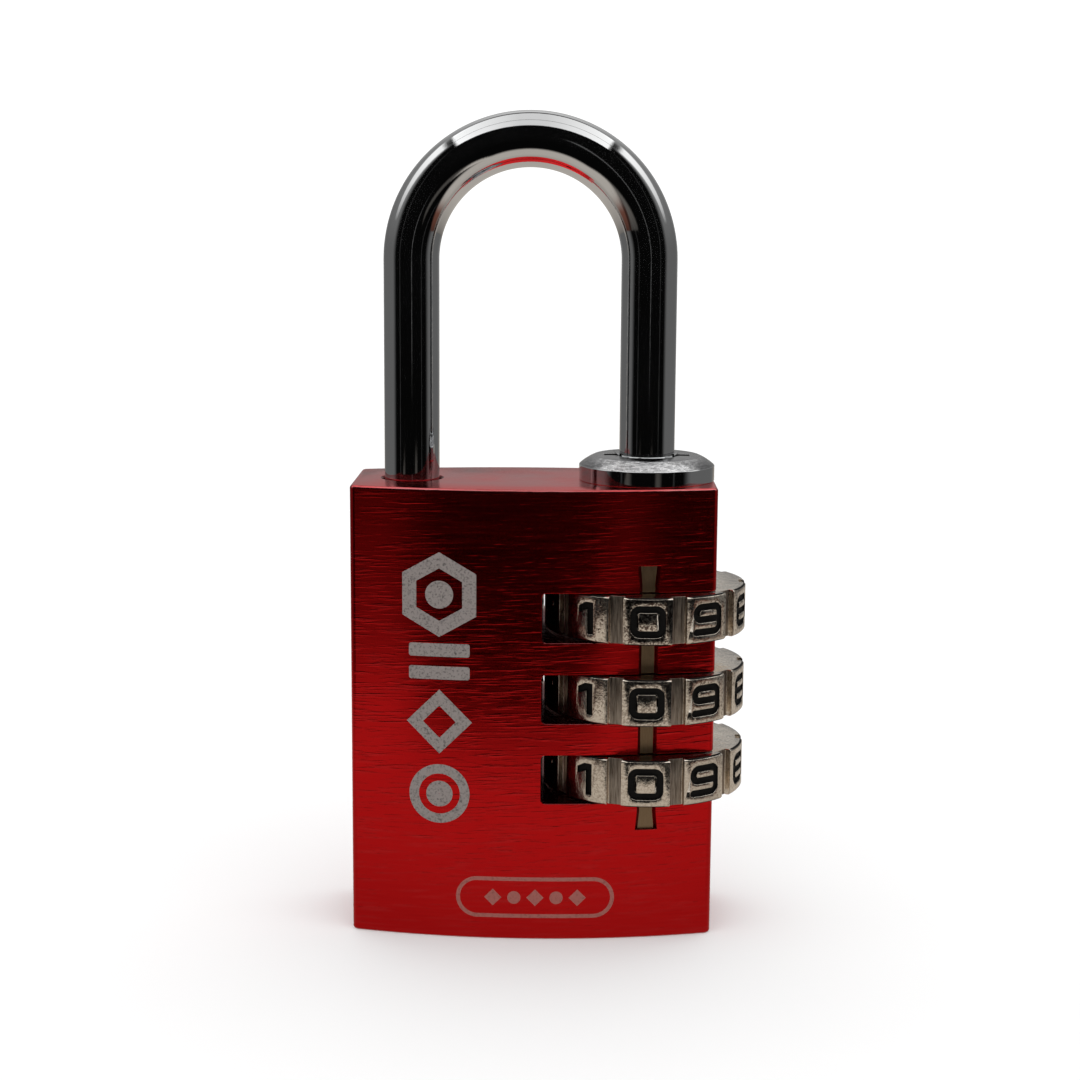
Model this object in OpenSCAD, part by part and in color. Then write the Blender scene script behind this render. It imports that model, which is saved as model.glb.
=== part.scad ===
// Three-dial combination padlock with a solid crowned body and a round-bar shackle.
// The origin is the middle of the bottom face. +Z points up to the shackle, -Y is the numbered front.
// The toe leg of the shackle is on the left (-X), the heel leg runs down through the dials (+X).

/* [Body] */

// Width of the body from side to side
body_w = 30; // [28:0.5:32]
// Height of the body without the collar and the shackle
body_h = 37.7; // [37:0.1:40]
// Thickness of the body at its left and right sides
side_t = 10.6; // [9.5:0.1:12]
// How far the front and the back bulge beyond the side thickness
crown = 2; // [1:0.1:2.4]
// Rounding of the four upright corners
corner_r = 0.6; // [0.4:0.1:1.2]
// Rounding of the top and bottom rims
edge_r = 0.25; // [0.1:0.05:0.35]
// Inner end of the dial slots, measured from the middle
slot_end_x = 0.75; // [0.6:0.05:0.78]

/* [Shackle] */

// Diameter of the shackle bar
leg_d = 4.6; // [4.2:0.1:4.6]
// Distance between the two leg centres
leg_gap = 19.6; // [19:0.1:20]
// Free height under the arch when locked
clear_h = 25.6; // [15:0.1:60]
// Depth of the toe in the body when locked
toe_in = 5.2; // [3.5:0.1:5.6]

/* [Dial stack] */

// Distance of the dial axis from the middle of the body
stack_x = 9.33; // [9.3:0.01:9.34]
// Outer radius of a dial
dial_r = 8.45; // [8:0.05:8.5]
// Height of a dial
dial_h = 3.9; // [3.7:0.05:4]
// Height of the middle of the bottom dial
first_dial_z = 13.7; // [13.6:0.1:13.8]
// Width of the grooves between the numbers
groove_w = 1.2; // [1.1:0.05:1.4]
// Depth of the grooves between the numbers
groove_deep = 0.55; // [0.5:0.05:0.7]
// Width of a number
digit_w = 2.9; // [2.6:0.1:3]
// Height of a number
digit_h = 2.62; // [2.2:0.02:2.8]
// Stroke width of a number
stroke = 0.56; // [0.4:0.02:0.6]

/* [Collar] */

// Radius of the collar's rim
collar_r = 5.65; // [5.3:0.05:5.65]
// Height of the collar above the body
collar_h = 2.05; // [1.9:0.05:2.3]
// Length of the spanner slot across the collar
spanner_len = 7.1; // [6.4:0.1:7.4]

/* [Hidden] */

$fn = 96;
eps = 0.02;

// The dials stand one pitch apart, and the shackle lifts by the same pitch.
dial_pitch = 6.75;
BOTTOM = 0;
MIDDLE = 1;
TOP = 2;
function dial_z(i) = first_dial_z + i * dial_pitch;

// Body outline: each face is part of a large cylinder through its crown.
face_r = (pow(body_w / 2, 2) + crown * crown) / (2 * crown);
half_t = side_t / 2 + crown;
face_cy = half_t - face_r;
corner_x = body_w / 2 - corner_r;
corner_y = face_cy + sqrt(pow(face_r - corner_r, 2) - corner_x * corner_x);

// Radii of the stack, from the shackle bar outwards.
leg_r = leg_d / 2;
run_gap = 0.08;
fin_r = 3.3;
relief_r = 3.42;
sleeve_r = 4.05;
tooth_r = 4.5;
bore_r = 4.6;

// Heights of the stack.
driver_len = 6.7;
driver_drop = 3.35;
function driver_z(i) = dial_z(i) - driver_drop;
fin_h = 1.5;
fin_w = 1;
relief_h = 3.6;
seat_t = 0.8;
seat_z = driver_z(BOTTOM) - 0.05 - seat_t;
plug_t = 1.2;
clip_t = 0.6;
clip_z = seat_z - dial_pitch - 0.05 - clip_t;
heel_end_z = plug_t + 0.3;
shank_z = driver_z(TOP) + driver_len + 0.25;
shank_relief_h = 2.4;

// Shackle.
toe_x = stack_x - leg_gap;
arch_r = leg_gap / 2;
arch_z = body_h + clear_h - (arch_r - leg_r);
toe_z = body_h - toe_in;
toe_hole_r = leg_r + 0.2;
toe_hole_deep = 6;

// Detents: one ball and one spring for each dial, in a blind hole behind the dial.
ball_r = 0.5;
ball_x = stack_x - dial_r - 0.05 - ball_r;
pocket_r = ball_r + 0.05;
pocket_deep = 4.6;

// Index groove along the reading line.
index_x = stack_x + 0.15;
index_turn = asin(index_x / face_r);
index_top_z = 31.45;
index_low_z = 9.35;

// ---------- helpers ----------

// A flat disc with a round edge on both rims.
module round_disc(r, h, e) {
    rotate_extrude() {
        square([r - e, h]);
        translate([0, e]) square([r, h - 2 * e]);
        translate([r - e, e]) circle(e);
        translate([r - e, h - e]) circle(e);
    }
}

// A coil along +Z, made of rings of points that follow the helix.
module coil(mean_r, wire_r, length, turns, per_turn, sides) {
    steps = turns * per_turn;
    rise = length - 2 * wire_r;
    pts = [for (i = [0:steps], k = [0:sides - 1])
        let (a = 360 * i / per_turn, b = 360 * k / sides, r = mean_r + wire_r * cos(b))
        [r * cos(a), r * sin(a), wire_r + rise * i / steps + wire_r * sin(b)]];
    sides_faces = [for (i = [0:steps - 1], k = [0:sides - 1])
        let (n = (k + 1) % sides)
        [i * sides + k, i * sides + n, (i + 1) * sides + n, (i + 1) * sides + k]];
    start_face = [[for (k = [sides - 1:-1:0]) k]];
    end_face = [[for (k = [0:sides - 1]) steps * sides + k]];
    polyhedron(points = pts, faces = concat(sides_faces, start_face, end_face), convexity = 10);
}

// Outline of ten equal teeth or notches: five bars across the axis, trimmed to a radius.
module ten_bars(r, w) {
    intersection() {
        circle(r);
        for (k = [0:4]) rotate(36 * k) translate([-r - 1, -w / 2]) square([2 * r + 2, w]);
    }
}

// ---------- numbers ----------

// Half width and half height of the stroke's middle line, and its corner radius.
num_a = (digit_w - stroke) / 2;
num_b = (digit_h - stroke) / 2;
num_r = 0.5;
num_m = 0.42;

// An upright or level stroke between two points.
module bar(x1, y1, x2, y2) {
    s = stroke / 2;
    if (x1 == x2) translate([x1 - s, min(y1, y2)]) square([stroke, abs(y2 - y1)]);
    else translate([min(x1, x2), y1 - s]) square([abs(x2 - x1), stroke]);
}

// A rounded end of a stroke.
module cap(x, y) {
    translate([x, y]) circle(d = stroke, $fn = 32);
}

// A quarter turn of the stroke about a centre, from angle a to a + 90.
module bend(x, y, r, a) {
    translate([x, y]) rotate(a) intersection() {
        difference() {
            circle(r + stroke / 2, $fn = 48);
            circle(r - stroke / 2, $fn = 48);
        }
        square(r + stroke);
    }
}

module top_right() {
    bend(num_a - num_r, num_b - num_r, num_r, 0);
}

module top_left() {
    bend(num_r - num_a, num_b - num_r, num_r, 90);
}

module low_left() {
    bend(num_r - num_a, num_r - num_b, num_r, 180);
}

module low_right() {
    bend(num_a - num_r, num_r - num_b, num_r, 270);
}

module zero() {
    top_left();
    top_right();
    low_left();
    low_right();
    bar(num_r - num_a, num_b, num_a - num_r, num_b);
    bar(num_r - num_a, -num_b, num_a - num_r, -num_b);
    bar(-num_a, num_r - num_b, -num_a, num_b - num_r);
    bar(num_a, num_r - num_b, num_a, num_b - num_r);
}

module one() {
    x = 0.36;
    bar(x, -digit_h / 2, x, digit_h / 2);
    y = digit_h / 2;
    polygon([[x, y], [x - 0.45, y], [-0.78, y - 0.36], [-0.78, y - 0.86], [x, y - 0.5]]);
}

module two() {
    cap(-num_a, num_b);
    bar(-num_a, num_b, num_a - num_r, num_b);
    top_right();
    bar(num_a, num_b - num_r, num_a, num_m);
    bend(num_a - num_m, num_m, num_m, 270);
    bar(num_m - num_a, 0, num_a - num_m, 0);
    bend(num_m - num_a, -num_m, num_m, 90);
    bar(-num_a, -num_m, -num_a, -num_b - stroke / 2);
    bar(-num_a, -num_b, num_a, -num_b);
    cap(num_a, -num_b);
}

module three() {
    cap(-num_a, num_b);
    cap(-num_a, -num_b);
    bar(-num_a, num_b, num_a - num_r, num_b);
    bar(-num_a, -num_b, num_a - num_r, -num_b);
    top_right();
    low_right();
    bar(num_a, num_b - num_r, num_a, num_r - num_b);
    bar(-num_a / 2, 0, num_a, 0);
    cap(-num_a / 2, 0);
}

module four() {
    cap(-num_a, num_b);
    bar(-num_a, num_b, -num_a, num_m);
    bend(num_m - num_a, num_m, num_m, 180);
    bar(num_m - num_a, 0, num_a, 0);
    bar(num_a, -num_b, num_a, num_b);
    cap(num_a, num_b);
    cap(num_a, -num_b);
}

module five() {
    mirror([1, 0]) two();
}

module six() {
    zero_open = num_a - num_m;
    cap(num_a, num_b);
    bar(num_a, num_b, num_r - num_a, num_b);
    top_left();
    low_left();
    low_right();
    bar(-num_a, num_r - num_b, -num_a, num_b - num_r);
    bar(num_r - num_a, -num_b, num_a - num_r, -num_b);
    bar(num_a, num_r - num_b, num_a, -num_m);
    bend(zero_open, -num_m, num_m, 0);
    bar(-num_a, 0, zero_open, 0);
}

module seven() {
    cap(-num_a, num_b);
    bar(-num_a, num_b, num_a - num_r, num_b);
    top_right();
    bar(num_a, num_b - num_r, num_a, -num_b);
    cap(num_a, -num_b);
}

module eight() {
    zero();
    bar(-num_a, 0, num_a, 0);
}

module nine() {
    rotate(180) six();
}

module number(n) {
    if (n == 0) zero();
    if (n == 1) one();
    if (n == 2) two();
    if (n == 3) three();
    if (n == 4) four();
    if (n == 5) five();
    if (n == 6) six();
    if (n == 7) seven();
    if (n == 8) eight();
    if (n == 9) nine();
}

// ---------- body ----------

// Solid of one crowned face: a large round disc behind it.
module face_disc(side) {
    translate([0, side * face_cy, 0]) round_disc(face_r, body_h, edge_r);
}

// Everything between the two crowned faces, up to the lines where the corner roundings start.
module crowned_core() {
    far = 1.1;
    fan_x = corner_x * far;
    fan_y = face_cy + (corner_y - face_cy) * far;
    intersection() {
        face_disc(1);
        face_disc(-1);
        linear_extrude(body_h) polygon([
            [corner_x, corner_y], [fan_x, fan_y], [-fan_x, fan_y], [-corner_x, corner_y],
            [-corner_x, -corner_y], [-fan_x, -fan_y], [fan_x, -fan_y], [corner_x, -corner_y]]);
    }
}

// The two flat sides with their rounded rims.
module side_slab() {
    translate([0, corner_y, 0]) rotate([90, 0, 0]) linear_extrude(2 * corner_y) {
        w = body_w / 2;
        translate([edge_r - w, 0]) square([body_w - 2 * edge_r, body_h]);
        translate([-w, edge_r]) square([body_w, body_h - 2 * edge_r]);
        for (x = [edge_r - w, w - edge_r], z = [edge_r, body_h - edge_r])
            translate([x, z]) circle(edge_r);
    }
}

module body_solid() {
    crowned_core();
    side_slab();
    for (x = [-corner_x, corner_x], y = [-corner_y, corner_y])
        translate([x, y, 0]) round_disc(corner_r, body_h, edge_r);
}

// A slot for one dial, open to the right, to the front and to the back.
module dial_slot(z) {
    h = dial_h + 0.2;
    r = 0.4;
    w = body_w;
    translate([slot_end_x, half_t + 1, z - h / 2]) rotate([90, 0, 0])
        linear_extrude(2 * half_t + 2) {
            translate([r, 0]) square([w - r, h]);
            translate([0, r]) square([w, h - 2 * r]);
            translate([r, r]) circle(r, $fn = 48);
            translate([r, h - r]) circle(r, $fn = 48);
        }
}

// The index groove: a level floor between two sloping flanks, a little wider at both ends.
module index_groove() {
    deep = 0.3;
    long = index_top_z - index_low_z;
    translate([0, -face_cy, index_low_z]) rotate(index_turn) translate([0, -face_r, 0]) {
        linear_extrude(long) polygon([[-0.5, deep], [0.5, deep], [0.86, -0.1], [-0.86, -0.1]]);
        translate([0, deep, 0]) rotate([90, 0, 0]) linear_extrude(deep + 0.1) polygon([
            [-0.68, 0], [0.68, 0], [0.54, 1.5], [0.54, long - 1.5],
            [0.68, long], [-0.68, long], [-0.54, long - 1.5], [-0.54, 1.5]]);
    }
}

module body_block() {
    color("#a01218") difference() {
        body_solid();
        translate([stack_x, 0, -1]) cylinder(r = bore_r, h = body_h + 2);
        translate([toe_x, 0, body_h - toe_hole_deep])
            cylinder(r = toe_hole_r, h = toe_hole_deep + 1);
        translate([toe_x, 0, body_h - 0.15])
            cylinder(r1 = toe_hole_r, r2 = toe_hole_r + 0.3, h = 0.3);
        for (i = [BOTTOM:TOP]) {
            dial_slot(dial_z(i));
            translate([slot_end_x - pocket_deep, 0, dial_z(i)]) rotate([0, 90, 0])
                cylinder(r = pocket_r, h = pocket_deep + 1, $fn = 32);
        }
        index_groove();
    }
}

// Plug that closes the stack bore, flush with the bottom.
module base_plug() {
    color("#8c1016") translate([stack_x, 0, 0]) cylinder(r = bore_r, h = plug_t);
}

// Slotted round nut that holds the stack in and guides the heel leg.
module collar_nut() {
    shank_h = body_h - shank_z;
    dome_r = 4.07;
    color("#c9c9cc") translate([stack_x, 0, body_h]) difference() {
        union() {
            rotate_extrude() intersection() {
                square([collar_r, collar_h]);
                translate([2.87, collar_h - 3.77]) circle(dome_r);
            }
            translate([0, 0, -shank_h]) cylinder(r = bore_r, h = shank_h);
        }
        translate([0, 0, -shank_h - 1]) cylinder(r = leg_r + run_gap, h = shank_h + 5);
        translate([0, 0, -shank_h - 1]) cylinder(r = relief_r, h = shank_relief_h + 1);
        translate([0, 0, collar_h - 0.2])
            cylinder(r1 = leg_r + run_gap, r2 = leg_r + run_gap + 0.4, h = 0.4);
        translate([-spanner_len / 2, -0.5, collar_h - 0.7]) cube([spanner_len, 1, 1]);
    }
}

// Thin washer between the top driver and the collar's shank.
module thrust_washer() {
    color("#b5b5b0") translate([stack_x, 0, shank_z - 0.22]) difference() {
        cylinder(r = tooth_r, h = 0.2);
        translate([0, 0, -1]) cylinder(r = relief_r, h = 3);
    }
}

// ---------- shackle ----------

// Locking fin on the heel leg, facing the toe leg.
module fin(z) {
    translate([stack_x - fin_r, -fin_w / 2, z]) cube([fin_r - 1, fin_w, fin_h]);
}

module shackle() {
    groove_r = 1.7;
    color("#d4d6da") difference() {
        union() {
            translate([(toe_x + stack_x) / 2, 0, arch_z]) rotate([90, 0, 0])
                rotate_extrude(angle = 180) translate([arch_r, 0]) circle(leg_r);
            translate([toe_x, 0, toe_z + 0.7]) cylinder(r = leg_r, h = arch_z - toe_z - 0.7);
            translate([toe_x, 0, toe_z]) cylinder(r1 = leg_r - 0.7, r2 = leg_r, h = 0.7);
            translate([stack_x, 0, heel_end_z + 0.3])
                cylinder(r = leg_r, h = arch_z - heel_end_z - 0.3);
            translate([stack_x, 0, heel_end_z]) cylinder(r1 = leg_r - 0.3, r2 = leg_r, h = 0.3);
            for (i = [BOTTOM:TOP]) fin(driver_z(i) + 0.15);
        }
        translate([stack_x, 0, clip_z - 0.05]) difference() {
            cylinder(r = leg_r + 1, h = clip_t + 0.1);
            translate([0, 0, -1]) cylinder(r = groove_r, h = clip_t + 2);
        }
    }
}

// Open ring in the groove at the foot of the heel leg.
module heel_clip() {
    color("#55565a") translate([stack_x, 0, clip_z]) linear_extrude(clip_t) difference() {
        circle(fin_r);
        circle(1.72);
        polygon([[0, 0], [2.6, -4], [-2.6, -4]]);
        for (a = [30, 150]) rotate(a) translate([2.1, 0]) circle(0.42, $fn = 32);
    }
}

// ---------- dials and drivers ----------

// Number dial: ten numbered panels with a groove between each two.
// Its upper half is notched for the driver's teeth, its lower half is a wider plain bore.
module dial(z) {
    edge = 0.14;
    half = dial_h / 2;
    mesh_z = 0.15;
    translate([stack_x, 0, z]) difference() {
        rotate_extrude($fn = 120) polygon([
            [3, -half], [dial_r - edge, -half], [dial_r, edge - half],
            [dial_r, half - edge], [dial_r - edge, half], [3, half]]);
        translate([0, 0, -half - 1]) cylinder(r = sleeve_r + run_gap, h = dial_h + 2);
        translate([0, 0, -half - 1]) cylinder(r = tooth_r + 0.15, h = half + mesh_z + 1);
        translate([0, 0, mesh_z - eps])
            linear_extrude(half + 1) ten_bars(tooth_r + run_gap, 1.1);
        for (k = [0:9]) rotate(36 * k) {
            translate([dial_r - groove_deep, -groove_w / 2, -half - 1])
                cube([groove_deep + 1, groove_w, dial_h + 2]);
        }
        for (n = [0:9]) rotate(-36 * n) translate([0, 0.3 - dial_r, 0])
            rotate([90, 0, 0]) linear_extrude(1) number(n);
    }
}

module dial_top() {
    color("#cfc9bd") dial(dial_z(TOP));
}

module dial_middle() {
    color("#cfc9bd") dial(dial_z(MIDDLE));
}

module dial_bottom() {
    color("#cfc9bd") dial(dial_z(BOTTOM));
}

// Driver: toothed sleeve inside a dial, with a gate that only one number brings in line.
// The fin rests in the wide relief below the gate.
module driver(z) {
    translate([stack_x, 0, z]) difference() {
        union() {
            cylinder(r = sleeve_r, h = driver_len);
            translate([0, 0, relief_h]) linear_extrude(1.6) {
                circle(sleeve_r - 0.2);
                ten_bars(tooth_r, 0.95);
            }
        }
        translate([0, 0, -1]) cylinder(r = leg_r + run_gap, h = driver_len + 2);
        translate([0, 0, -1]) cylinder(r = relief_r, h = relief_h + 1);
        intersection() {
            translate([0, 0, 0.5]) cylinder(r = relief_r, h = driver_len);
            translate([-5, -fin_w / 2 - 0.08, 0.5]) cube([5, fin_w + 0.16, driver_len]);
        }
    }
}

module driver_top() {
    color("#c8a24a") driver(driver_z(TOP));
}

module driver_middle() {
    color("#c8a24a") driver(driver_z(MIDDLE));
}

module driver_bottom() {
    color("#c8a24a") driver(driver_z(BOTTOM));
}

// Washer that carries the drivers on the spring.
module spring_seat() {
    c = 0.15;
    color("#9a9b9e") translate([stack_x, 0, seat_z]) rotate_extrude() polygon([
        [leg_r + run_gap, 0], [tooth_r - c, 0], [tooth_r, c],
        [tooth_r, seat_t - c], [tooth_r - c, seat_t], [leg_r + run_gap, seat_t]]);
}

// Spring that pushes the drivers up into the dials.
module reset_spring() {
    color("#8f9297") translate([stack_x, 0, plug_t + 0.02])
        coil(mean_r = 3.92, wire_r = 0.32, length = seat_z - plug_t - 0.04, turns = 5.5,
            per_turn = 28, sides = 10);
}

// ---------- detents ----------

module detent_ball(z) {
    color("#b9bbc0") translate([ball_x, 0, z]) sphere(r = ball_r, $fn = 32);
}

module detent_spring(z) {
    back_x = slot_end_x - pocket_deep;
    color("#8f9297") translate([back_x + 0.02, 0, z]) rotate([0, 90, 0])
        coil(mean_r = 0.34, wire_r = 0.09, length = ball_x - ball_r * 0.62 - back_x - 0.06,
            turns = 9, per_turn = 12, sides = 6);
}

module detent_ball_top() {
    detent_ball(dial_z(TOP));
}

module detent_ball_middle() {
    detent_ball(dial_z(MIDDLE));
}

module detent_ball_bottom() {
    detent_ball(dial_z(BOTTOM));
}

module detent_spring_top() {
    detent_spring(dial_z(TOP));
}

module detent_spring_middle() {
    detent_spring(dial_z(MIDDLE));
}

module detent_spring_bottom() {
    detent_spring(dial_z(BOTTOM));
}

// ---------- assembly ----------

body_block();
base_plug();
collar_nut();
thrust_washer();
shackle();
heel_clip();
dial_top();
dial_middle();
dial_bottom();
driver_top();
driver_middle();
driver_bottom();
spring_seat();
reset_spring();
detent_ball_top();
detent_ball_middle();
detent_ball_bottom();
detent_spring_top();
detent_spring_middle();
detent_spring_bottom();
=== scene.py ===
"""Looks of a three-dial combination padlock: brushed red body, chrome shackle, nickel dials."""

import math

import bmesh
import bpy
from mathutils import Matrix, Vector


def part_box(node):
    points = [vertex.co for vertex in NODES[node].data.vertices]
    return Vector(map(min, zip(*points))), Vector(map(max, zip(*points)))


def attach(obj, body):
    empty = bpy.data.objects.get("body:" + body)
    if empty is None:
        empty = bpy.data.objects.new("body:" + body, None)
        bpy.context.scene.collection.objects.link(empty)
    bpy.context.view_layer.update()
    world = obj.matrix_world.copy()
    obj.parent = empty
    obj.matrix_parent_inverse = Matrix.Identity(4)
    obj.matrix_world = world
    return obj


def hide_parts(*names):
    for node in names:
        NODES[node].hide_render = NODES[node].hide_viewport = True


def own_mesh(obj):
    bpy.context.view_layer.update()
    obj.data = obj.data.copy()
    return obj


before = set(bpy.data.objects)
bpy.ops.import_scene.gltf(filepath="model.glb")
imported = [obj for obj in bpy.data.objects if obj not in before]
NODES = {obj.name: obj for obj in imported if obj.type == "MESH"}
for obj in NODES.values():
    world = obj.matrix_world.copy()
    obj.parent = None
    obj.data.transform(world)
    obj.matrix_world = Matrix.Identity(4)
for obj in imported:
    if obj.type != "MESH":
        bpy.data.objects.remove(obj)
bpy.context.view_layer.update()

MM = 0.001
LEVELS = ("top", "middle", "bottom")

# ---------- driving sizes in millimetres, read from the frame ----------

body_lo, body_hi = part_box("body_block")
width = (body_hi.x - body_lo.x) / MM
height = body_hi.z / MM
thick = body_hi.y / MM
plug_lo, plug_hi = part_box("base_plug")
axis_x = (plug_lo.x + plug_hi.x) / 2 / MM
dial_lo, dial_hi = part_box("dial_middle")
dial_r = dial_hi.y / MM
dial_h = dial_hi.z / MM - dial_lo.z / MM
shackle_lo, shackle_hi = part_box("shackle")
leg_r = round((shackle_hi.y - shackle_lo.y) / 2 / MM, 1)
toe_x = shackle_lo.x / MM + leg_r

# The front and back are arcs that stand out by CROWN in the middle.
CROWN = 2.0
big_r = ((width / 2) ** 2 + CROWN**2) / (2 * CROWN)
face_centre = big_r - thick


# ---------- node helpers ----------


class Nodes:
    """Short calls for building a node tree."""

    def __init__(self, tree):
        self.tree = tree
        self.tree.nodes.clear()

    def add(self, kind, **inputs):
        node = self.tree.nodes.new(kind)
        for name, value in inputs.items():
            self.put(node, name.replace("_", " "), value)
        return node

    def put(self, node, key, value):
        """Sets or links an input, which is given by its name or its number."""
        socket = node.inputs[key]
        if isinstance(value, bpy.types.NodeSocket):
            self.tree.links.new(value, socket)
        else:
            socket.default_value = value

    def math(self, operation, a, b=0.0, c=0.0):
        node = self.tree.nodes.new("ShaderNodeMath")
        node.operation = operation
        for i, value in enumerate((a, b, c)):
            self.put(node, i, value)
        return node.outputs[0]

    def between(self, x, lo, hi, soft):
        """1 where lo < x < hi, with edges as wide as soft."""
        return self.math("MULTIPLY", self.step(x, lo, soft), self.step_down(x, hi, soft))

    def step(self, x, at, soft):
        """Rises from 0 to 1 around at."""
        node = self.tree.nodes.new("ShaderNodeMapRange")
        node.interpolation_type = "SMOOTHSTEP"
        self.put(node, 0, x)
        self.put(node, 1, at - soft / 2)
        self.put(node, 2, at + soft / 2)
        return node.outputs[0]

    def step_down(self, x, at, soft):
        """Falls from 1 to 0 around at."""
        return self.math("SUBTRACT", 1.0, self.step(x, at, soft))

    def ramp(self, x, x0, x1, y0, y1):
        """Straight line from y0 at x0 to y1 at x1, held at both ends."""
        node = self.tree.nodes.new("ShaderNodeMapRange")
        for i, value in enumerate((x, x0, x1, y0, y1)):
            self.put(node, i, value)
        return node.outputs[0]

    def mix(self, factor, a, b):
        """Colour mix."""
        node = self.tree.nodes.new("ShaderNodeMix")
        node.data_type = "RGBA"
        self.put(node, 0, factor)
        self.put(node, 6, a)
        self.put(node, 7, b)
        return node.outputs[2]

    def mix_shader(self, factor, a, b):
        node = self.add("ShaderNodeMixShader")
        self.put(node, 0, factor)
        self.put(node, 1, a.outputs[0])
        self.put(node, 2, b.outputs[0])
        return node

    def output(self, kind, shader):
        self.tree.links.new(shader.outputs[0], self.add(kind).inputs["Surface"])

    def place(self):
        """The point in the part's own frame, in millimetres."""
        node = self.add("ShaderNodeTexCoord")
        scaled = self.tree.nodes.new("ShaderNodeVectorMath")
        scaled.operation = "SCALE"
        self.put(scaled, 0, node.outputs["Object"])
        scaled.inputs["Scale"].default_value = 1 / MM
        return scaled.outputs[0]

    def stretch(self, vector, x, y, z):
        node = self.tree.nodes.new("ShaderNodeVectorMath")
        node.operation = "MULTIPLY"
        self.put(node, 0, vector)
        node.inputs[1].default_value = (x, y, z)
        return node.outputs[0]

    def tilt(self, vector, degrees):
        """Turns the pattern a little, so that its lines rise to the right."""
        node = self.add("ShaderNodeMapping", Vector=vector)
        node.inputs["Rotation"].default_value = (0, math.radians(degrees), 0)
        return node.outputs[0]

    def noise(self, vector, detail=4.0, rough=0.55, warp=0.0):
        settings = {"Scale": 1.0, "Detail": detail, "Roughness": rough, "Distortion": warp}
        return self.add("ShaderNodeTexNoise", Vector=vector, **settings).outputs[0]

    def upward(self):
        """How far the surface faces up: 1 on a top, 0 on a side."""
        return self.split(self.add("ShaderNodeNewGeometry").outputs["Normal"])[2]

    def split(self, vector):
        return self.add("ShaderNodeSeparateXYZ", Vector=vector).outputs

    def bump(self, height, depth_mm, base=None):
        node = self.add("ShaderNodeBump", Height=height, Distance=depth_mm * MM, Strength=1.0)
        if base is not None:
            self.put(node, "Normal", base)
        return node.outputs[0]


def new_material(name):
    mat = bpy.data.materials.new(name)
    mat.use_nodes = True
    return mat, Nodes(mat.node_tree)


def finish_material(n, colour, rough, normal, metallic=1.0, **extra):
    surface = n.add("ShaderNodeBsdfPrincipled", Metallic=metallic, **extra)
    for name, value in (("Base Color", colour), ("Roughness", rough), ("Normal", normal)):
        n.put(surface, name, value)
    n.output("ShaderNodeOutputMaterial", surface)


# ---------- materials ----------

RED = (0.80, 0.014, 0.016, 1)
DEEP_RED = (0.73, 0.0115, 0.014, 1)
# Pale red of the brushing streaks and of the top rims, where it is partly a painted highlight.
PALE_RED = (0.78, 0.26, 0.27, 1)


def red_anodised():
    """Solid aluminium, brushed from side to side, then anodised. The upward-facing rims are painted pale:
    edge wear together with a painted highlight.
    """
    mat, n = new_material("red_anodised_brushed")
    p = n.place()
    scratch = n.noise(n.stretch(n.tilt(p, 2.5), 0.28, 0.28, 4.6), 2.5, 0.6, 0.3)
    dashes = n.ramp(scratch, 0.50, 0.78, 0.0, 1.0)
    fine_lines = n.noise(n.stretch(p, 0.20, 0.20, 9.0), 3.0, 0.6, 0.15)
    broad = n.noise(n.stretch(p, 0.10, 0.10, 0.16), 2.0, 0.5)
    lines = n.math("MULTIPLY_ADD", fine_lines, 0.15, dashes)
    tone = n.ramp(n.math("MULTIPLY_ADD", broad, 0.5, fine_lines), 0.55, 0.95, 0.0, 1.0)
    colour = n.mix(tone, DEEP_RED, RED)
    colour = n.mix(n.math("MULTIPLY", dashes, 0.07), colour, PALE_RED)
    # Upward-facing rims painted pale: partly edge wear, partly a painted highlight of the lamp above.
    rim = n.between(n.upward(), 0.25, 0.93, 0.2)
    rim = n.math("MULTIPLY", rim, n.ramp(fine_lines, 0.3, 0.6, 0.3, 0.9))
    colour = n.mix(rim, colour, PALE_RED)
    rough = n.ramp(fine_lines, 0.3, 0.7, 0.14, 0.24)
    finish_material(n, colour, rough, n.bump(lines, 0.010))
    return mat


def milled_red():
    """Milled walls of the slots and bores, anodised with the body: smoother, and painted darker for the
    shade inside the cuts.
    """
    mat, n = new_material("red_anodised_milled")
    p = n.place()
    sweep = n.noise(n.stretch(p, 3.0, 9.0, 3.0), 3.0, 0.6)
    # Dark red painted as the shade on the walls inside the slots, bores and groove.
    colour = n.mix(sweep, (0.16, 0.002, 0.004, 1), (0.30, 0.004, 0.007, 1))
    finish_material(n, colour, n.ramp(sweep, 0.3, 0.7, 0.16, 0.30), n.bump(sweep, 0.006))
    return mat


def bare_metal():
    """Floor of the index groove, cut through the anodised skin to bare aluminium."""
    mat, n = new_material("index_floor_bare")
    p = n.place()
    grain = n.noise(n.stretch(p, 12.0, 12.0, 1.2), 3.0, 0.6)
    colour = n.mix(grain, (0.25, 0.17, 0.10, 1), (0.48, 0.34, 0.21, 1))
    finish_material(n, colour, n.ramp(grain, 0.3, 0.7, 0.30, 0.46), n.bump(grain, 0.008))
    return mat


def chrome(name, tint, rough):
    """Bright chrome plate with a faint haze and hairlines."""
    mat, n = new_material(name)
    p = n.place()
    haze = n.noise(n.stretch(p, 0.35, 0.35, 0.12), 4.0, 0.6)
    hair = n.noise(n.stretch(p, 7.0, 7.0, 0.6), 3.0, 0.6)
    colour = n.mix(haze, tuple(0.93 * c for c in tint[:3]) + (1,), tint)
    roughness = n.ramp(n.math("ADD", haze, hair), 0.8, 1.3, rough, rough * 2.2)
    finish_material(n, colour, roughness, n.bump(hair, 0.0012))
    return mat


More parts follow.
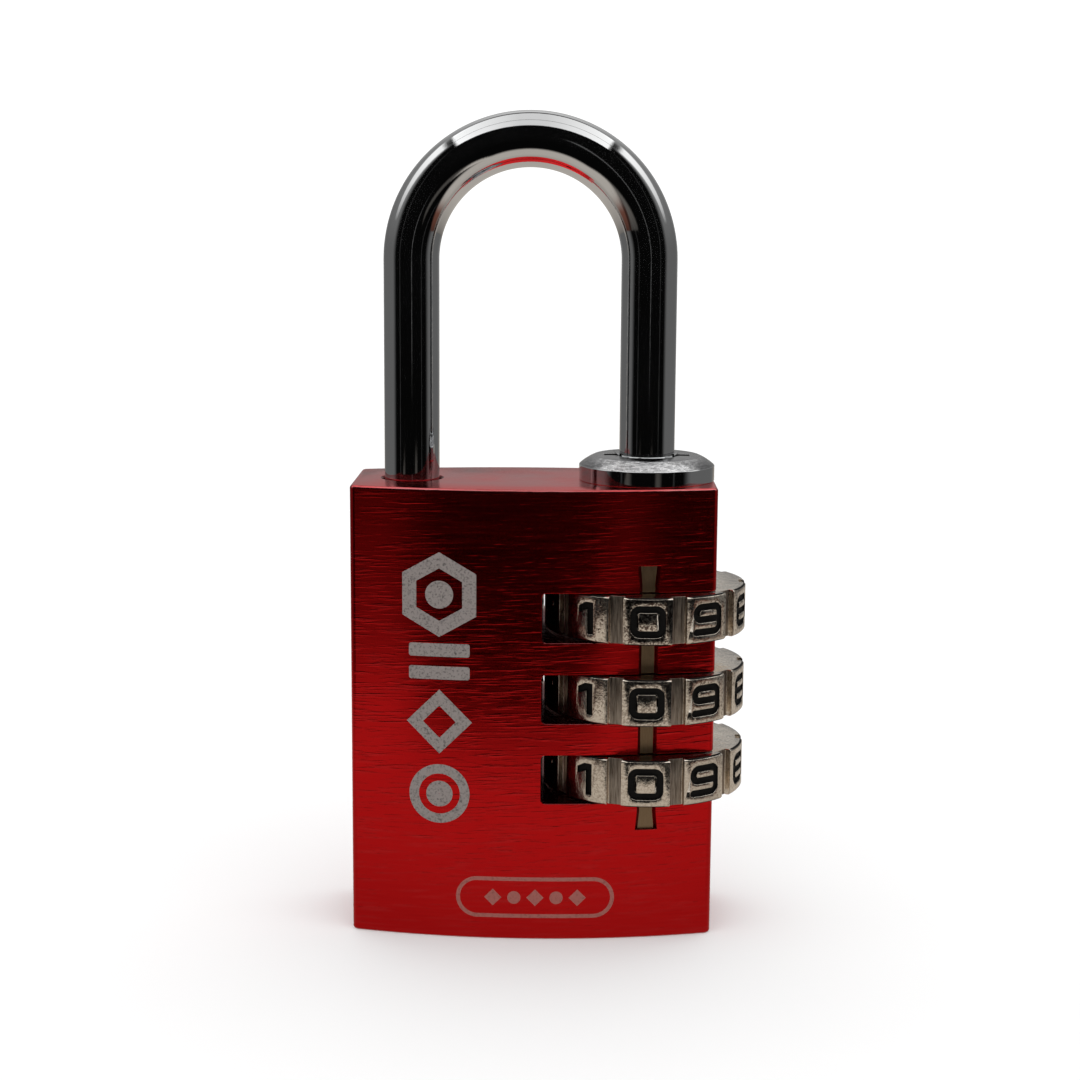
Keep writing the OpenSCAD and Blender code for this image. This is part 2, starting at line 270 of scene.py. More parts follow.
def uneven_chrome():
    """Chrome on the collar's top, never polished: uneven, with painted shade on the flat and towards both
    sides.
    """
    mat, n = new_material("chrome_plate_uneven")
    p = n.place()
    lumps = n.noise(n.stretch(p, 1.7, 1.7, 7.0), 4.0, 0.68, 0.4)
    patch = n.noise(n.stretch(p, 0.55, 0.55, 0.55), 2.0, 0.5)
    colour = n.mix(n.ramp(lumps, 0.38, 0.60, 0.0, 1.0), (0.48, 0.48, 0.49, 1), (0.95, 0.95, 0.96, 1))
    aside = n.math("ABSOLUTE", n.math("SUBTRACT", n.split(p)[0], axis_x))
    # Painted shade: the flat top and both ends of the slope are darkened in colour.
    collar_painted_shade = n.math("MAXIMUM", n.step(n.upward(), 0.93, 0.06), n.step(aside, 4.1, 1.8))
    colour = n.mix(n.math("MULTIPLY", collar_painted_shade, 0.8), colour, (0.20, 0.20, 0.21, 1))
    height = n.math("MULTIPLY", lumps, n.ramp(patch, 0.35, 0.65, 0.3, 1.0))
    finish_material(n, colour, n.ramp(lumps, 0.3, 0.7, 0.08, 0.2), n.bump(height, 0.09))
    return mat


def dial_nickel():
    """Cast and nickel-plated panels: wavy and pitted.

    The upper dials hold patches of grime, and their panels on the reading line carry a painted dark brown
    reflection.
    """
    mat, n = new_material("dial_nickel")
    p = n.place()
    x, y, z = n.split(p)
    wave = n.noise(n.stretch(p, 0.9, 0.9, 0.7), 2.0, 0.5)
    pits = n.noise(n.stretch(p, 5.5, 5.5, 5.5), 4.0, 0.66)
    patch = n.noise(n.stretch(p, 1.3, 1.3, 1.3), 2.0, 0.5)
    upright = n.step_down(n.math("ABSOLUTE", n.upward()), 0.5, 0.3)
    shown = n.math("MULTIPLY", upright, n.ramp(z, 14.0, 26.0, 0.0, 1.0))
    metal = n.mix(n.ramp(pits, 0.3, 0.56, 0.0, 1.0), (0.62, 0.53, 0.43, 1), (0.99, 0.90, 0.78, 1))
    grime = n.math("MULTIPLY", n.step_down(pits, 0.45, 0.12), n.step(patch, 0.50, 0.16))
    aside = n.math("ABSOLUTE", n.math("SUBTRACT", x, axis_x))
    # Painted reflection: the front of the panel on the reading line is darkened brown, as it mirrors the
    # dark room in front.
    painted_dark_reflection = n.math("MULTIPLY", n.step_down(aside, 1.9, 0.9), n.step_down(y, 0.0, 1.0))
    painted_dark_reflection = n.math("MULTIPLY", painted_dark_reflection, n.step_down(pits, 0.52, 0.14))
    # One dark brown carries both the grime and the painted reflection.
    brown = n.math("MULTIPLY", n.math("MAXIMUM", grime, painted_dark_reflection), n.math("MULTIPLY", shown, 0.85))
    metal = n.mix(brown, metal, (0.085, 0.035, 0.026, 1))
    rough = n.ramp(pits, 0.3, 0.7, 0.09, 0.22)
    wavy = n.bump(wave, 0.07)
    finish_material(n, metal, rough, n.bump(pits, 0.018, wavy))
    return mat


def groove_nickel():
    """Floors of the grooves between the panels: duller, with upright drawn lines."""
    mat, n = new_material("dial_groove_nickel")
    p = n.place()
    drawn = n.noise(n.stretch(p, 7.0, 7.0, 0.5), 4.0, 0.65)
    bright = n.ramp(drawn, 0.35, 0.65, 0.0, 1.0)
    metal = n.mix(bright, (0.18, 0.145, 0.12, 1), (0.60, 0.52, 0.44, 1))
    finish_material(n, metal, n.ramp(drawn, 0.3, 0.7, 0.32, 0.5), n.bump(drawn, 0.05))
    return mat


def ink():
    """Black paint in the engraved numbers."""
    mat, n = new_material("number_ink")
    p = n.place()
    crust = n.noise(n.stretch(p, 6.0, 6.0, 6.0), 4.0, 0.6)
    colour = n.mix(crust, (0.0012, 0.001, 0.001, 1), (0.006, 0.005, 0.004, 1))
    rough = n.ramp(crust, 0.3, 0.7, 0.5, 0.7)
    finish_material(n, colour, rough, n.bump(crust, 0.03), metallic=0.0, Specular_IOR_Level=0.25)
    return mat


def plain_metal(name, light, dark, rough, scale):
    """Turned or drawn metal: fine lines across the stack axis and a mottled tone."""
    mat, n = new_material(name)
    p = n.place()
    mottle = n.noise(n.stretch(p, scale, scale, scale), 4.0, 0.6)
    rings = n.noise(n.stretch(p, 0.5, 0.5, 12.0), 3.0, 0.6)
    colour = n.mix(mottle, dark, light)
    roughness = n.ramp(n.math("ADD", mottle, rings), 0.7, 1.3, rough, rough + 0.18)
    finish_material(n, colour, roughness, n.bump(rings, 0.01))
    return mat


def etched_mark(name, dark, light):
    """Laser-etched aluminium: matte, with fine dark specks."""
    mat, n = new_material(name)
    p = n.place()
    grain = n.noise(n.stretch(p, 5.5, 5.5, 5.5), 4.0, 0.65)
    colour = n.mix(n.ramp(grain, 0.32, 0.50, 0.0, 1.0), dark, light)
    finish_material(n, colour, n.ramp(grain, 0.3, 0.7, 0.5, 0.7), n.bump(grain, 0.01), metallic=0.35)
    return mat


# ---------- finishing the CAD nodes ----------


def paint(node, material):
    """Gives a CAD node's own mesh its finish."""
    for s in NODES[node].material_slots:
        s.material = material


# ---------- mesh helpers: shapes are drawn in millimetres and scaled once ----------


def ring_strip(bm, rings, closed=False):
    """Quads between rings of equal length. closed joins the last ring to the first."""
    rows = [[bm.verts.new(p) for p in ring] for ring in rings]
    count = len(rings[0])
    pairs = list(zip(rows, rows[1:]))
    if closed:
        pairs.append((rows[-1], rows[0]))
    for low, high in pairs:
        for i in range(count):
            j = (i + 1) % count
            bm.faces.new((low[i], low[j], high[j], high[i]))
    return rows


def capped(rings):
    """Closed solid of stacked rings with a flat cap at each end."""
    bm = bmesh.new()
    rows = ring_strip(bm, rings)
    bm.faces.new(rows[-1])
    bm.faces.new(rows[0][::-1])
    return bm


def circle(r, z, steps, cx=0.0, cy=0.0):
    return [
        (cx + r * math.cos(2 * math.pi * i / steps), cy + r * math.sin(2 * math.pi * i / steps), z)
        for i in range(steps)
    ]


def turned(profile, steps, cx):
    """Solid of revolution about the upright line x = cx, from a closed profile of (radius, height)."""
    bm = bmesh.new()
    ring_strip(bm, [circle(r, z, steps, cx) for r, z in profile], closed=True)
    return bm


def draft(name, bm, materials, slot=0):
    """A working object, still in millimetres, with one of the materials on all its faces."""
    bmesh.ops.recalc_face_normals(bm, faces=bm.faces)
    for face in bm.faces:
        face.material_index = slot
    mesh = bpy.data.meshes.new(name)
    bm.to_mesh(mesh)
    bm.free()
    for material in materials:
        mesh.materials.append(material)
    o = bpy.data.objects.new(name, mesh)
    bpy.context.scene.collection.objects.link(o)
    return o


def carve(o, cutters, operation="DIFFERENCE"):
    """Cuts or joins the other objects. Cut walls keep the material of their cutter."""
    for cutter in cutters:
        boolean = o.modifiers.new(cutter.name, "BOOLEAN")
        boolean.operation = operation
        boolean.solver = "EXACT"
        boolean.object = cutter
        boolean.material_mode = "INDEX"


def settle(o, bevel_mm, angle=35):
    """Applies the carving, rounds the sharp edges and scales the piece to metres."""
    carved = evaluated_copy(o)
    used = [m.object for m in o.modifiers if m.type == "BOOLEAN"]
    o.modifiers.clear()
    o.data = carved
    for cutter in used:
        bpy.data.objects.remove(cutter)
    for polygon in o.data.polygons:
        polygon.use_smooth = True
    if bevel_mm:
        bevel = o.modifiers.new("edges", "BEVEL")
        bevel.width = bevel_mm
        bevel.segments = 2
        bevel.limit_method = "ANGLE"
        bevel.angle_limit = math.radians(angle)
        bevel.use_clamp_overlap = False
        bevel.harden_normals = True
        rounded = evaluated_copy(o)
        o.modifiers.clear()
        o.data = rounded
    else:
        o.data.set_sharp_from_angle(angle=math.radians(angle))
    o.data.transform(Matrix.Scale(MM, 4))
    return o


def evaluated_copy(o):
    """The object's mesh with its modifiers applied."""
    bpy.context.view_layer.update()
    graph = bpy.context.evaluated_depsgraph_get()
    return bpy.data.meshes.new_from_object(o.evaluated_get(graph))


def box_solid(x0, x1, y0, y1, z0, z1):
    corners = ((x0, y0), (x1, y0), (x1, y1), (x0, y1))
    return capped([[(x, y, z) for x, y in corners] for z in (z0, z1)])


# ---------- body ----------

OUTSIDE, MILLED, BARE = 0, 1, 2
CORNER_R = 0.6
CORNER_STEPS = 6
FACE_STEPS = 68
RIM_R = 0.25
RIM_STEPS = 4
EDGE_R = 0.05
STACK_BORE = 4.6
TOE_HOLE = 2.5
TOE_HOLE_DEEP = 6.0
TOE_HOLE_CHAMFER = 0.15
SLOT_END = 0.75
SLOT_PLAY = 0.2
SLOT_CORNER = 0.4
SLOT_STEPS = 8
POCKET_R = 0.55
POCKET_DEEP = 4.6
INDEX_LOW = 9.35
INDEX_HIGH = 31.45
INDEX_FLARE = 1.5
INDEX_HALF = 0.54
INDEX_END_HALF = 0.68
INDEX_DEEP = 0.3
INDEX_SLOPE = 0.85
INDEX_SHIFT = 0.15
PAST = 1.0

corner_x = width / 2 - CORNER_R
face_angle = math.asin(corner_x / (big_r - CORNER_R))
corner_y = math.cos(face_angle) * (big_r - CORNER_R) - face_centre


def outline(inset, z):
    """Plan view of the body, moved inwards: two crowned faces and four round corners."""
    quarter = math.pi / 2
    half_turn = math.pi
    arcs = [
        (0, face_centre, big_r, -face_angle, face_angle, FACE_STEPS),
        (corner_x, -corner_y, CORNER_R, face_angle, quarter, CORNER_STEPS),
        (corner_x, corner_y, CORNER_R, quarter, half_turn - face_angle, CORNER_STEPS),
        (0, -face_centre, big_r, half_turn - face_angle, half_turn + face_angle, FACE_STEPS),
        (-corner_x, corner_y, CORNER_R, half_turn + face_angle, 3 * quarter, CORNER_STEPS),
        (-corner_x, -corner_y, CORNER_R, 3 * quarter, 2 * half_turn - face_angle, CORNER_STEPS),
    ]
    points = []
    for cx, cy, r, start, end, steps in arcs:
        # Only an arc that runs into a straight side keeps its last point.
        meets_side = r == CORNER_R and abs(math.sin(end)) > 0.99
        for i in range(steps + 1 if meets_side else steps):
            a = start + (end - start) * i / steps
            points.append((cx + (r - inset) * math.sin(a), cy - (r - inset) * math.cos(a), z))
    return points


def body_solid(materials):
    """The block, with a small round along its lower and upper rims."""
    rings = []
    for i in range(RIM_STEPS + 1):
        a = math.pi / 2 * i / RIM_STEPS
        rings.append(outline(RIM_R * (1 - math.sin(a)), RIM_R * (1 - math.cos(a))))
    for i in range(RIM_STEPS + 1):
        a = math.pi / 2 * i / RIM_STEPS
        rings.append(outline(RIM_R * (1 - math.cos(a)), height - RIM_R * (1 - math.sin(a))))
    return draft("padlock_body", capped(rings), materials, OUTSIDE)


def slot_cutter(z, materials):
    """Dial slot with two round inner corners, open to the right, the front and the back."""
    half_h = (dial_h + SLOT_PLAY) / 2
    section = [(width, half_h), (width, -half_h)]
    for sign in (-1, 1):
        for i in range(SLOT_STEPS + 1):
            share = i / SLOT_STEPS
            a = math.pi / 2 * (share if sign < 0 else 1 - share)
            x = SLOT_END + SLOT_CORNER * (1 - math.sin(a))
            section.append((x, sign * (half_h - SLOT_CORNER * (1 - math.cos(a)))))
    deep = thick + PAST
    rings = [[(x, y, z + dz) for x, dz in section] for y in (-deep, deep)]
    return draft("slot_cutter", capped(rings), materials, MILLED)


def pocket_cutter(z, materials):
    """Blind hole behind a dial, for its ball and spring."""
    pocket = capped([circle(POCKET_R, x, 24) for x in (SLOT_END - POCKET_DEEP, SLOT_END + PAST)])
    flip = Matrix.Translation((0, 0, z)) @ Matrix.Rotation(math.pi / 2, 4, "Y")
    bmesh.ops.transform(pocket, matrix=flip, verts=pocket.verts)
    return draft("pocket_cutter", pocket, materials, MILLED)


def toe_cutter(materials):
    """Hole for the shackle's toe, with a chamfer at its mouth."""
    c = TOE_HOLE_CHAMFER
    toe = [(TOE_HOLE, height - TOE_HOLE_DEEP), (TOE_HOLE, height - c), (TOE_HOLE + 2 * c, height + c)]
    return draft("toe_cutter", capped([circle(r, z, 64, toe_x) for r, z in toe]), materials, MILLED)


def index_cutter(materials):
    """Long groove on the reading line, turned square to the crowned face, wider at both ends."""
    out = 0.1
    turn = Matrix.Rotation(math.asin((axis_x + INDEX_SHIFT) / big_r), 4, "Z")
    stops = [
        (INDEX_LOW, INDEX_END_HALF),
        (INDEX_LOW + INDEX_FLARE, INDEX_HALF),
        (INDEX_HIGH - INDEX_FLARE, INDEX_HALF),
        (INDEX_HIGH, INDEX_END_HALF),
    ]
    rings = []
    for z, half in stops:
        wide = half + (INDEX_DEEP + out) * INDEX_SLOPE
        section = ((-half, INDEX_DEEP), (half, INDEX_DEEP), (wide, -out), (-wide, -out))
        rings.append([Vector((x, y - big_r, z)) for x, y in section])
    bm = capped(rings)
    bmesh.ops.transform(bm, matrix=Matrix.Translation((0, face_centre, 0)) @ turn, verts=bm.verts)
    o = draft("index_cutter", bm, materials, MILLED)
    for polygon in o.data.polygons:
        mid = turn.inverted() @ (polygon.center - Vector((0, face_centre, 0)))
        if abs(mid.y + big_r - INDEX_DEEP) < 0.01:
            polygon.material_index = BARE
    return o


def smooth_crown(o):
    """Gives every corner on the two crowned faces the exact direction of the crown."""
    directions = [corner.vector.copy() for corner in o.data.corner_normals]
    for polygon in o.data.polygons:
        if abs(polygon.normal.y) < 0.9:
            continue
        side = math.copysign(1, polygon.normal.y)
        arms = {}
        for i in polygon.loop_indices:
            point = o.data.vertices[o.data.loops[i].vertex_index].co / MM
            arms[i] = Vector((point.x, point.y + side * face_centre, 0))
        if all(abs(arm.length - big_r) < 0.005 for arm in arms.values()):
            for i, arm in arms.items():
                directions[i] = arm.normalized()
    o.data.normals_split_custom_set(directions)


def padlock_body(materials):
    """The block with its bore, toe hole, index groove, dial slots and pockets."""
    o = body_solid(materials)
    bore = capped([circle(STACK_BORE, z, 96, axis_x) for z in (-PAST, height + PAST)])
    cutters = [
        draft("bore_cutter", bore, materials, MILLED),
        toe_cutter(materials),
        index_cutter(materials),
    ]
    for level in LEVELS:
        lo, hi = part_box("dial_" + level)
        z = (lo.z + hi.z) / 2 / MM
        cutters.append(slot_cutter(z, materials))
        cutters.append(pocket_cutter(z, materials))
    carve(o, cutters)
    settle(o, EDGE_R)
    smooth_crown(o)
    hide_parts("body_block")
    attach(o, "body")


# ---------- dials ----------

PANEL, GROOVE, INK = 0, 1, 2
PANELS = 10
DIGIT_DEEP = 0.3
DIGIT_TO_GROOVE = 0.9
GROOVE_DEEP = 0.55
GROOVE_HALF = 0.55
DIAL_EDGE_R = 0.045


def number_dial(level, materials):
    """The dial's CAD surface with its flat faces rejoined, rounded edges and painted numbers."""
    node = "dial_" + level
    bm = bmesh.new()
    bm.from_mesh(NODES[node].data)
    bmesh.ops.transform(bm, matrix=Matrix.Scale(1 / MM, 4), verts=bm.verts)
    bmesh.ops.remove_doubles(bm, verts=bm.verts, dist=0.0005)
    bmesh.ops.dissolve_limit(
        bm, angle_limit=math.radians(0.4), verts=bm.verts, edges=bm.edges, delimit={"NORMAL"}
    )
    o = draft("number_dial_" + level, bm, materials, PANEL)
    settle(o, DIAL_EDGE_R, angle=30)
    for polygon in o.data.polygons:
        x, y, _ = polygon.center / MM
        depth = dial_r - math.hypot(x - axis_x, y)
        turn = math.atan2(y, x - axis_x) / (2 * math.pi) * PANELS
        off_groove = abs(turn - round(turn)) / PANELS * 2 * math.pi * dial_r
        if 0.05 < depth < DIGIT_DEEP + 0.02 and off_groove > DIGIT_TO_GROOVE:
            polygon.material_index = INK
        elif abs(depth - GROOVE_DEEP) < 0.06 and off_groove < GROOVE_HALF:
            polygon.material_index = GROOVE
    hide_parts(node)
    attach(o, "dial_" + level)


# ---------- shackle, spring and collar ----------

TOE_DEPTH = 5.2
TOE_CHAMFER = 0.7
HEEL_CHAMFER = 0.3
CLIP_GROOVE_R = 1.7
CLIP_GROOVE = (2.05, 2.75)
ARCH_STEPS = 96
BAR_SIDES = 80
FIN_ROOT = 1.0
FIN_REACH = 3.3
FIN_HALF = 0.5
FIN_H = 1.5
FIN_RISE = 0.15


def shackle_path():
    """Centre line from the heel end over the arch to the toe, as (point, direction, bar radius)."""
    heel_end = shackle_lo.z / MM
    toe_end = height - TOE_DEPTH
    arch_r = (axis_x - toe_x) / 2
    arch_z = shackle_hi.z / MM - arch_r - leg_r
    up, down = Vector((0, 0, 1)), Vector((0, 0, -1))
    groove_low, groove_high = CLIP_GROOVE
    stops = [(heel_end, leg_r - HEEL_CHAMFER), (heel_end + HEEL_CHAMFER, leg_r)]
    stops += [(groove_low, leg_r), (groove_low, CLIP_GROOVE_R)]
    stops += [(groove_high, CLIP_GROOVE_R), (groove_high, leg_r)]
    stops += [(arch_z * k / 8, leg_r) for k in range(2, 8)]
    path = [(Vector((axis_x, 0, z)), up, r) for z, r in stops]
    for i in range(ARCH_STEPS + 1):
        a = math.pi * i / ARCH_STEPS
        c, s = math.cos(a), math.sin(a)
        point = Vector((axis_x - arch_r + arch_r * c, 0, arch_z + arch_r * s))
        path.append((point, Vector((-s, 0, c)), leg_r))
    stops = [(arch_z - (arch_z - toe_end) * k / 6, leg_r) for k in range(1, 6)]
    stops += [(toe_end + TOE_CHAMFER, leg_r), (toe_end, leg_r - TOE_CHAMFER)]
    path += [(Vector((toe_x, 0, z)), down, r) for z, r in stops]
    return path


def shackle_bar(material):
    """One bent round bar with a fin for each driver on its heel leg."""
    rings = []
    for point, along, r in shackle_path():
        across = Vector((0, 1, 0))
        out = along.cross(across)
        ring = []
        for i in range(BAR_SIDES):
            a = 2 * math.pi * i / BAR_SIDES
            ring.append(point + r * (across * math.cos(a) + out * math.sin(a)))
        rings.append(ring)
    o = draft("shackle_bar", capped(rings), [material])
    fins = []
    for level in LEVELS:
        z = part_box("driver_" + level)[0].z / MM + FIN_RISE
        fin = box_solid(axis_x - FIN_REACH, axis_x - FIN_ROOT, -FIN_HALF, FIN_HALF, z, z + FIN_H)
        fins.append(draft("fin", fin, [material]))
    carve(o, fins, "UNION")
    settle(o, 0.0, angle=32)
    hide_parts("shackle")
    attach(o, "shackle")


SPRING_WIRE_R = 0.32
SPRING_TURNS = 5.5


def coil_spring(material):
    """The spring under the stack, built as one fixed coil. The real spring shortens by the stack's travel
    when the stack is pushed down.
    """
    lo, hi = (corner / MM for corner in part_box("reset_spring"))
    per_turn, sides = 48, 16
    coil_r = (hi.x - lo.x) / 2 - SPRING_WIRE_R
    rise = hi.z - lo.z - 2 * SPRING_WIRE_R
    steps = round(SPRING_TURNS * per_turn)
    section = [(coil_r + x, y) for x, y, _ in circle(SPRING_WIRE_R, 0, sides)]
    rings = []
    for i in range(steps + 1):
        a = 2 * math.pi * i / per_turn
        c, s = math.cos(a), math.sin(a)
        z = lo.z + SPRING_WIRE_R + rise * i / steps
        rings.append([(axis_x + r * c, r * s, z + y) for r, y in section])
    o = draft("coil_spring", capped(rings), [material])
    settle(o, 0.0, angle=50)
    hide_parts("reset_spring")
    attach(o, "body")
    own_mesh(o)


# The third finish is near-black: painted shade on the walls of the narrow spanner slot.
POLISHED, UNEVEN, SLOT_SHADE = 0, 1, 2
COLLAR_RIM = 5.65
COLLAR_HOLE = 2.38
COLLAR_CHAMFER = 0.2
RECESS_R = 3.42
RECESS_H = 2.4
DOME_R = 4.07
DOME_X = 2.87
DOME_DROP = 3.77
DOME_STEPS = 10
SPANNER_REACH = 3.55
SPANNER_HALF = 0.5
SPANNER_DEEP = 0.7
MOUTH_R = 2.6


def collar(materials):
    """Turned and plated collar: flat top, a slightly round slope, and an upright rim."""
    lo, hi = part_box("collar_nut")
    top, foot = hi.z / MM, lo.z / MM
    dome_z = top - DOME_DROP
    profile = [
        (RECESS_R, foot),
        (RECESS_R, foot + RECESS_H),
        (COLLAR_HOLE, foot + RECESS_H),
        (COLLAR_HOLE, top - COLLAR_CHAMFER),
        (COLLAR_HOLE + COLLAR_CHAMFER, top),
    ]
    high_angle = math.acos((top - dome_z) / DOME_R)
    low_angle = math.asin((COLLAR_RIM - DOME_X) / DOME_R)
    for i in range(DOME_STEPS + 1):
        a = high_angle + (low_angle - high_angle) * i / DOME_STEPS
        profile.append((DOME_X + DOME_R * math.sin(a), dome_z + DOME_R * math.cos(a)))
    profile += [(COLLAR_RIM, height), (STACK_BORE, height), (STACK_BORE, foot)]
    o = draft("collar_ring", turned(profile, 128, axis_x), materials, POLISHED)
    left, right = axis_x - SPANNER_REACH, axis_x + SPANNER_REACH
    slot = box_solid(left, right, -SPANNER_HALF, SPANNER_HALF, top - SPANNER_DEEP, top + PAST)
    # The slot's walls take the near-black finish, painted as shade.
    carve(o, [draft("spanner_cutter", slot, materials, SLOT_SHADE)])
    settle(o, EDGE_R)
    for polygon in o.data.polygons:
        x, y, z = polygon.center / MM
        on_top = z > height and math.hypot(x - axis_x, y) > MOUTH_R and polygon.normal.z > 0.6
        if on_top and polygon.material_index == POLISHED:
            polygon.material_index = UNEVEN
    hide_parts("collar_nut")
    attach(o, "body")


# ---------- marks on the front ----------

MARK_PROUD = 0.009
MARK_SUNK = 0.02
CENTRE_SHARE = 0.02
COLUMN_X = -7.6
HEXAGON_Z = 29.0
BAR_Z = (24.4, 22.5)
DIAMOND_Z = 18.4
RING_Z = 12.3
PILL_X = 0.34
PILL_Z = 3.6
PILL_HALF_W = 6.56
PILL_HALF_H = 1.75
PILL_LINE = 0.33
PILL_PITCH = 1.75
PILL_SHAPES = 5


def on_face(x, z, lift):
    """A point of a flat drawing, laid on the crowned front and lifted off it."""
    a = math.asin(x / big_r)
    r = big_r + lift
    return (r * math.sin(a), face_centre - r * math.cos(a), z)


def plate(bm, outer, inner, steps):
    """Thin closed plate between two outlines with the same number of points."""
    shares = [i / steps for i in range(steps + 1)]
    loops = []
    for lift, order in ((MARK_PROUD, shares), (-MARK_SUNK, shares[::-1])):
        for t in order:
            blend = [(a[0] + (b[0] - a[0]) * t, a[1] + (b[1] - a[1]) * t) for a, b in zip(outer, inner)]
            loops.append([on_face(x, z, lift) for x, z in blend])
    ring_strip(bm, loops, closed=True)


def regular(cx, cz, r, sides, per_side=1):
    """Points of a regular shape with a corner on top, and extra points along each side."""
    angles = [2 * math.pi * i / sides for i in range(sides)]
    corners = [(cx + r * math.sin(a), cz + r * math.cos(a)) for a in angles]
    points = []
    for (x0, z0), (x1, z1) in zip(corners, corners[1:] + corners[:1]):
        for k in range(per_side):
            t = k / per_side
            points.append((x0 + (x1 - x0) * t, z0 + (z1 - z0) * t))
    return points


def stadium(cx, cz, half_w, half_h, corner, steps=8):
    """A bar with round corners."""
    points = []
    for sx, sz, start in ((1, 1, 0), (1, -1, 1), (-1, -1, 2), (-1, 1, 3)):
        for i in range(steps + 1):
            a = math.pi / 2 * (start + i / steps)
            x = cx + sx * (half_w - corner) + corner * math.sin(a)
            z = cz + sz * (half_h - corner) + corner * math.cos(a)
            points.append((x, z))
    return subdivided(points, 0.4)


def subdivided(points, longest):
    """Adds points so that no side is longer than the given length."""
    out = []
    for (x0, z0), (x1, z1) in zip(points, points[1:] + points[:1]):
        count = max(1, math.ceil(math.hypot(x1 - x0, z1 - z0) / longest))
        out += [(x0 + (x1 - x0) * k / count, z0 + (z1 - z0) * k / count) for k in range(count)]
    return out


def shrunk(points, cx, cz, share):
    return [(cx + (x - cx) * share, cz + (z - cz) * share) for x, z in points]


def column_mark(bm, shape, cz, share, steps):
    """A shape of the column. Its middle is open down to a share of its size."""
    plate(bm, shape, shrunk(shape, COLUMN_X, cz, share), steps)


def mark_column(materials):
    """Plain shapes one above the other: hexagon with a dot, two bars, diamond, ring with a dot."""
    bm = bmesh.new()
    column_mark(bm, regular(COLUMN_X, HEXAGON_Z, 3.5, 6, 10), HEXAGON_Z, 0.62, 3)
    column_mark(bm, regular(COLUMN_X, HEXAGON_Z, 1.15, 48), HEXAGON_Z, CENTRE_SHARE, 6)
    for z in BAR_Z:
        column_mark(bm, stadium(COLUMN_X, z, 2.5, 0.55, 0.2), z, CENTRE_SHARE, 6)
    column_mark(bm, regular(COLUMN_X, RING_Z, 1.1, 48), RING_Z, CENTRE_SHARE, 6)
    column_mark(bm, regular(COLUMN_X, DIAMOND_Z, 2.7, 4, 10), DIAMOND_Z, 0.5, 4)
    column_mark(bm, regular(COLUMN_X, RING_Z, 2.5, 72), RING_Z, 0.68, 3)
    return draft("front_marks", bm, materials)


def mark_pill(materials):
    """Pill outline around a row of diamonds and dots."""
    bm = bmesh.new()
    inner_h = PILL_HALF_H - PILL_LINE
    outer = stadium(PILL_X, PILL_Z, PILL_HALF_W, PILL_HALF_H, PILL_HALF_H, 16)
    inner = stadium(PILL_X, PILL_Z, PILL_HALF_W - PILL_LINE, inner_h, inner_h, 16)
    plate(bm, outer, inner, 1)
    for i in range(PILL_SHAPES):
        x = PILL_X + (i - (PILL_SHAPES - 1) / 2) * PILL_PITCH
        shape = regular(x, PILL_Z, 0.72, 4, 6) if i % 2 == 0 else regular(x, PILL_Z, 0.55, 32)
        plate(bm, shape, shrunk(shape, x, PILL_Z, CENTRE_SHARE), 4)
    return draft("maker_pill", bm, materials)


def front_marks(strong, faint):
    """Both marks are thin plates that lie on the crowned front."""
    for o in (mark_column([strong, faint]), mark_pill([faint, strong])):
        settle(o, 0.0)
        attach(o, "body")


# ---------- camera, floor and light ----------

CAMERA_PLACE = Vector((2.978, -171.485, 60.684)) * MM
CAMERA_TURN = math.radians(0.84)
CAMERA_TILT = math.radians(-9.348)
CAMERA_ROLL = math.radians(0.373)
CAMERA_LENS = 68.89


def camera():
    data = bpy.data.cameras.new("camera")
    data.lens = CAMERA_LENS
    data.sensor_width = 36
    data.clip_start = 10 * MM
    o = bpy.data.objects.new("camera", data)
    bpy.context.scene.collection.objects.link(o)
    o.matrix_world = (
        Matrix.Translation(CAMERA_PLACE)
        @ Matrix.Rotation(CAMERA_TURN, 4, "Z")
        @ Matrix.Rotation(math.radians(90) + CAMERA_TILT, 4, "X")
        @ Matrix.Rotation(CAMERA_ROLL, 4, "Z")
    )
    bpy.context.scene.camera = o


FLOOR_HALF = 3.0
FLOOR_TINT = (1.0, 0.92, 0.83, 1)
BROWN_CORNER = (0.40, 0.16, 0.11, 1)
TABLE_GLOW = 0.445
TABLE_NEAR = 64.0
TABLE_SIDE = 170.0
TONGUE_NEAR = 112.0
TONGUE_FAR = 320.0
TO_DEGREES = 180 / math.pi


def floor_plane():
    bm = bmesh.new()
    corners = [(-1, -1), (1, -1), (1, 1), (-1, 1)]
    bm.faces.new([bm.verts.new((x * FLOOR_HALF, y * FLOOR_HALF, 0)) for x, y in corners])
    mesh = bpy.data.meshes.new("floor")
    bm.to_mesh(mesh)
    bm.free()
    o = bpy.data.objects.new("floor", mesh)
    bpy.context.scene.collection.objects.link(o)
    return o


def tongue(n, distance, far_glow):
    """A strip of light on the floor, bright near the lock and faint further out."""
    near = n.step_down(distance, TONGUE_NEAR, 50.0)
    far = n.step_down(distance, TONGUE_FAR, 60.0)
    return n.math("MAXIMUM", near, n.math("MULTIPLY", far, far_glow))


